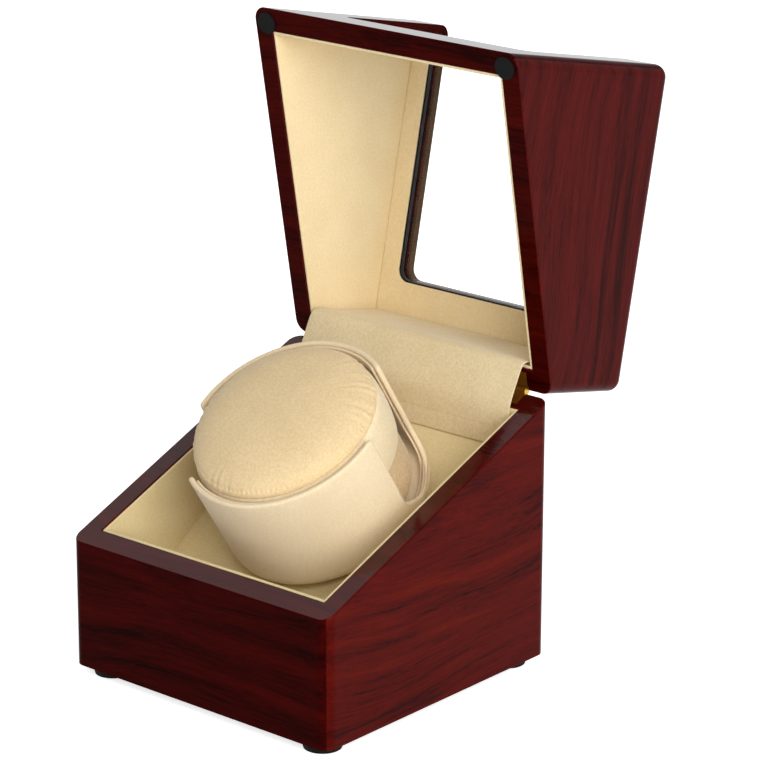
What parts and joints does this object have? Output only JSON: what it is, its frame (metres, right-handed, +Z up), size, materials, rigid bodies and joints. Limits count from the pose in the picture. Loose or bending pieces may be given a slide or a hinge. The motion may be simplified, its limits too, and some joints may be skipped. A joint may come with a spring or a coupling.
{
  "type": "watch winder",
  "caption": "Lacquered watch winder case with a hinged window lid, open, and a tilted motor-driven rotor cup holding a round suede watch pillow.",
  "frame": {"origin": "on the surface the feet stand on, midway across and midway between the front face and the rearmost point of the open lid", "axes": "+X to the right seen from the front, +Y to the back, +Z up"},
  "size_m": [0.15, 0.2296, 0.281],
  "materials": {
    "veneer_front": "very dark red-brown veneer under high-gloss lacquer",
    "veneer_side": "red-brown veneer under high-gloss lacquer",
    "suede_lining": "cream suede on thin board",
    "suede_cup": "cream suede over a moulded cup",
    "velvet_pillow": "cream velvet, soft",
    "clear_pane": "clear bent acrylic, polished",
    "black_bead": "black",
    "black_rubber": "matt black",
    "brass": "polished",
    "bronze": "sintered bronze",
    "steel": "plated",
    "aluminium": "plain",
    "bare_wood": "bare",
    "black_panel": "matt black paint",
    "pale_plastic": "moulded",
    "black_plastic": "moulded, satin",
    "nickel": "nickel plated",
    "board_green": "circuit board"
  },
  "bodies": {
    "base": {"base_front_board": "veneer_front", "base_left_board": "veneer_side", "base_right_board": "veneer_side", "base_back_board": "veneer_side", "base_front_lining": "suede_lining", "base_back_lining": "suede_lining", "base_left_lining": "suede_lining", "base_right_lining": "suede_lining", "deck_panel": "suede_lining", "hinge_cloth": "suede_lining", "feet": "black_rubber", "drive_belt": "black_rubber", "hinge_base_leaves": "brass", "hinge_pins": "brass", "spindle_bush": "bronze", "housing_screws": "steel", "motor_screws": "steel", "bracket_screws": "steel", "bottom_screws": "steel", "motor_bracket": "steel", "gear_motor": "steel", "spindle_housing": "aluminium", "deck_rails": "bare_wood", "bottom_panel": "black_panel", "power_inlet": "black_plastic", "mode_selector": "black_plastic", "panel_nuts": "nickel", "control_board": "board_green"},
    "lid": {"lid_front_board": "veneer_front", "lid_top_board": "veneer_front", "lid_back_board": "veneer_side", "lid_left_board": "veneer_side", "lid_right_board": "veneer_side", "window_pane": "clear_pane", "window_bead": "black_bead", "lid_front_lining": "suede_lining", "lid_top_lining": "suede_lining", "lid_back_lining": "suede_lining", "lid_left_lining": "suede_lining", "lid_right_lining": "suede_lining", "lid_bumpers": "black_rubber", "hinge_lid_leaves": "brass"},
    "drum": {"spindle": "steel", "spindle_screws": "steel", "drive_pulley": "pale_plastic", "turntable": "aluminium", "rotor_cup": "suede_cup", "cup_lining": "suede_cup", "cup_screws": "steel", "retaining_ring": "steel"},
    "pillow": {"watch_pillow": "velvet_pillow"},
    "motor_rotor": {"motor_pulley": "pale_plastic", "motor_shaft": "steel"},
    "knob": {"mode_knob": "black_plastic"}
  },
  "joints": [
    {"name": "lid_hinge", "type": "hinge", "parent": "base", "child": "lid", "pos_m": [0, 0.03311, 0.12397], "axis": [1, 0, 0], "range_deg": [0, 102.2], "deforming": ["hinge_cloth"]},
    {"name": "drum_spin", "type": "hinge", "parent": "base", "child": "drum", "pos_m": [0, -0.02506, 0.06918], "axis": [0, -0.5519, 0.8339], "continuous": true},
    {"name": "pillow_lift", "type": "slide", "parent": "drum", "child": "pillow", "axis": [0, -0.5519, 0.8339], "range_m": [0, 0.02]},
    {"name": "motor_spin", "type": "hinge", "parent": "base", "child": "motor_rotor", "pos_m": [-0.038, -0.02506, 0.06918], "axis": [0, -0.5519, 0.8339], "continuous": true},
    {"name": "mode_turn", "type": "hinge", "parent": "base", "child": "knob", "pos_m": [0.02, 0.03269, 0.0365], "axis": [0, 1, 0], "range_deg": [0, 90]}
  ],
  "couplings": [
    {"joint": "motor_spin", "follows": "drum_spin", "ratio": 3.9091}
  ]
}
